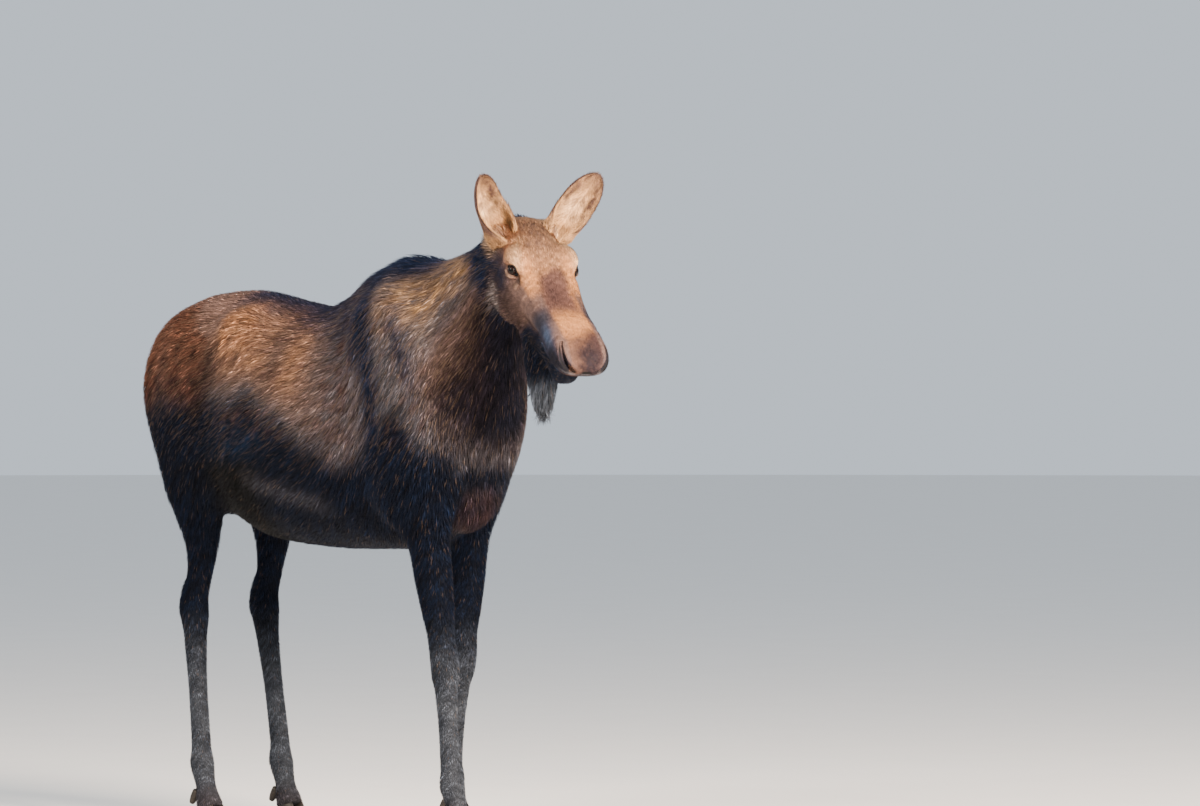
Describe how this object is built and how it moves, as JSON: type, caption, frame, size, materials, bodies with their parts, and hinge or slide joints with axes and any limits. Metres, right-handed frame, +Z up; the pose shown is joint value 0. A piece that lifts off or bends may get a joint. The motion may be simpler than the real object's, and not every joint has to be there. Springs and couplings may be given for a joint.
{
  "type": "moose",
  "caption": "Life-size standing cow moose in winter coat, still model, head turned to its right, hooves flat on the floor.",
  "frame": {"origin": "on the floor, under the middle of the box round the whole animal", "axes": "+Z up, -Y the way the body faces, +X to the animal's left"},
  "size_m": [0.6166, 2.2823, 2.0968],
  "materials": {
    "coat": "dense dark brown winter hair, matt",
    "face_coat": "short tan to brown hair, matt",
    "leg_coat": "short grey-brown hair, matt",
    "hoof": "dark horn, slightly worn",
    "eye": "wet, near black brown"
  },
  "bodies": {
    "root": {"eye_left": "eye", "ear_left": "face_coat", "eye_right": "eye", "ear_right": "face_coat", "hoof_foreleg_right_inner": "hoof", "dewclaw_foreleg_right_inner": "hoof", "hoof_foreleg_right_outer": "hoof", "dewclaw_foreleg_right_outer": "hoof", "foreleg_right": "leg_coat", "hoof_foreleg_left_inner": "hoof", "dewclaw_foreleg_left_inner": "hoof", "hoof_foreleg_left_outer": "hoof", "dewclaw_foreleg_left_outer": "hoof", "foreleg_left": "leg_coat", "hoof_hindleg_right_inner": "hoof", "dewclaw_hindleg_right_inner": "hoof", "hoof_hindleg_right_outer": "hoof", "dewclaw_hindleg_right_outer": "hoof", "hindleg_right": "leg_coat", "hoof_hindleg_left_inner": "hoof", "dewclaw_hindleg_left_inner": "hoof", "hoof_hindleg_left_outer": "hoof", "dewclaw_hindleg_left_outer": "hoof", "hindleg_left": "leg_coat", "trunk": "coat", "neck": "coat", "head": "face_coat", "lower_jaw": "coat", "bell": "coat", "tail": "coat"}
  },
  "joints": []
}
